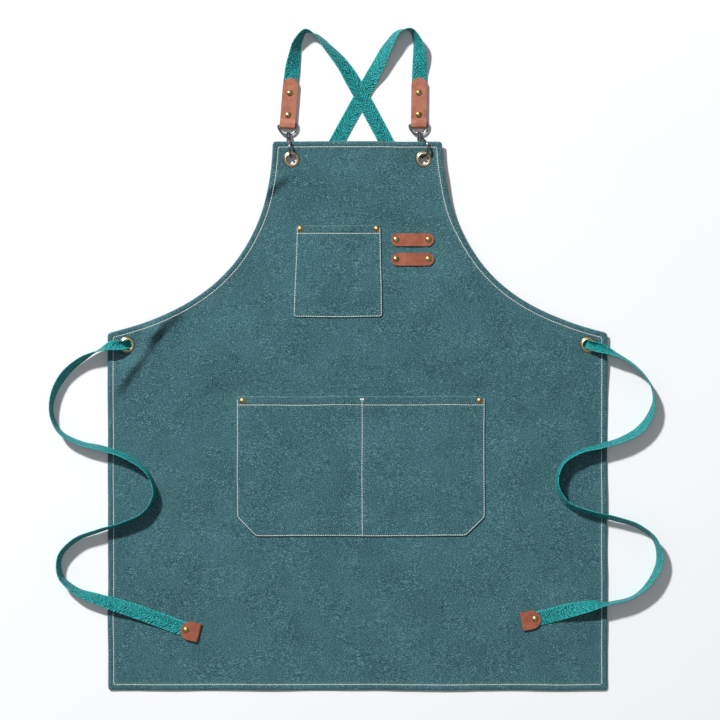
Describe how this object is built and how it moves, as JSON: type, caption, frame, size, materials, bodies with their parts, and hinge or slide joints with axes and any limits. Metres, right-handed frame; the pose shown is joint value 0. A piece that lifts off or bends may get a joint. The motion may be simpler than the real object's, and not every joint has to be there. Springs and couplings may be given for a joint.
{
  "type": "cross-back work apron",
  "caption": "Canvas work apron lying flat, with patch pockets, leather tool loops, brass eyelets and cross-back webbing straps on swivel bolt snaps.",
  "frame": {"origin": "middle of the panel's underside, on the surface the apron lies on", "axes": "X across the panel, +Y towards the bib, +Z out of the front face"},
  "size_m": [0.8343, 0.9007, 0.022],
  "materials": {
    "canvas": "washed blue-green cotton canvas, mottled",
    "webbing": "ribbed teal webbing",
    "leather": "smooth tan-brown leather with burnished edges",
    "brass": "antique brass, darkened in the recesses",
    "nickel": "polished nickel plate"
  },
  "bodies": {
    "apron": {"apron_panel": "canvas", "chest_pocket": "canvas", "lower_pocket": "canvas", "upper_tool_loop": "leather", "lower_tool_loop": "leather", "loop_rivets": "brass", "chest_pocket_rivets": "brass", "lower_pocket_rivets": "brass", "panel_rivet_backs": "brass", "left_bib_eyelet": "brass", "right_bib_eyelet": "brass", "left_waist_eyelet": "brass", "right_waist_eyelet": "brass", "eyelet_washers": "brass", "left_strap": "webbing", "right_strap": "webbing", "left_hook_tab": "leather", "right_hook_tab": "leather", "left_tab_rivets": "brass", "right_tab_rivets": "brass", "left_tab_rivet_backs": "brass", "right_tab_rivet_backs": "brass", "left_end_tab": "leather", "right_end_tab": "leather", "left_end_rivet": "brass", "right_end_rivet": "brass", "left_end_rivet_back": "brass", "right_end_rivet_back": "brass"},
    "left_eye": {"left_swivel_eye": "nickel"},
    "left_snap": {"left_hook": "nickel", "left_bolt_spring": "nickel"},
    "left_slide": {"left_bolt": "nickel"},
    "right_eye": {"right_swivel_eye": "nickel"},
    "right_snap": {"right_hook": "nickel", "right_bolt_spring": "nickel"},
    "right_slide": {"right_bolt": "nickel"}
  },
  "joints": [
    {"name": "left_eye_hinge", "type": "hinge", "parent": "apron", "child": "left_eye", "pos_m": [-0.0954, 0.3965, 0.004], "axis": [0.9946, 0.1037, 0], "range_deg": [-0.8, 1.5]},
    {"name": "left_snap_swivel", "type": "hinge", "parent": "left_eye", "child": "left_snap", "pos_m": [-0.09377, 0.38088, 0.004], "axis": [0.1037, -0.9946, 0], "range_deg": [-30, 30]},
    {"name": "left_bolt_slide", "type": "slide", "parent": "left_snap", "child": "left_slide", "axis": [-0.1037, 0.9946, 0], "range_m": [0, 0.005], "stiffness_N_per_m": 400, "springref_m": -0.003, "deforming": ["left_bolt_spring"]},
    {"name": "right_eye_hinge", "type": "hinge", "parent": "apron", "child": "right_eye", "pos_m": [0.0832, 0.397, 0.004], "axis": [0.9968, 0.0802, 0], "range_deg": [-0.8, 1.5]},
    {"name": "right_snap_swivel", "type": "hinge", "parent": "right_eye", "child": "right_snap", "pos_m": [0.08446, 0.38135, 0.004], "axis": [0.0802, -0.9968, 0], "range_deg": [-5, 40]},
    {"name": "right_bolt_slide", "type": "slide", "parent": "right_snap", "child": "right_slide", "axis": [-0.0802, 0.9968, 0], "range_m": [0, 0.005], "stiffness_N_per_m": 400, "springref_m": -0.003, "deforming": ["right_bolt_spring"]}
  ]
}
